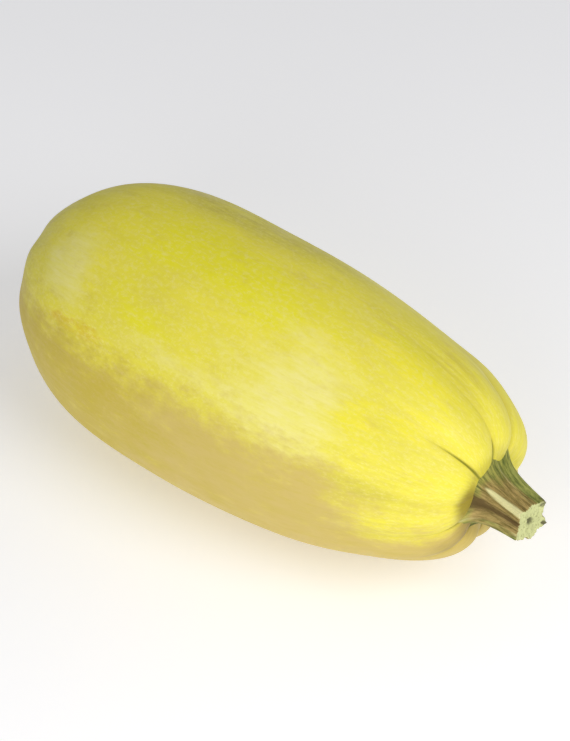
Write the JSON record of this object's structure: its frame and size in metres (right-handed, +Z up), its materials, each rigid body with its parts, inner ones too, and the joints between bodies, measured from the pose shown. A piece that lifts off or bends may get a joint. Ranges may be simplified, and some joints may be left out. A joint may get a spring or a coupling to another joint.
{
  "type": "spaghetti squash",
  "caption": "Whole spaghetti squash lying on its side: an oblong yellow fruit, lobed at the stem end, with a short ribbed stump of stem.",
  "frame": {"origin": "middle of the footprint, on the surface that the squash lies on", "axes": "+X along the fruit from the blossom end to the stem end, +Z up"},
  "size_m": [0.2688, 0.1202, 0.1185],
  "materials": {
    "rind": "satin waxy rind",
    "stem": "matt, dry and ribbed"
  },
  "bodies": {
    "root": {"fruit": "rind", "stem": "stem"}
  },
  "joints": []
}
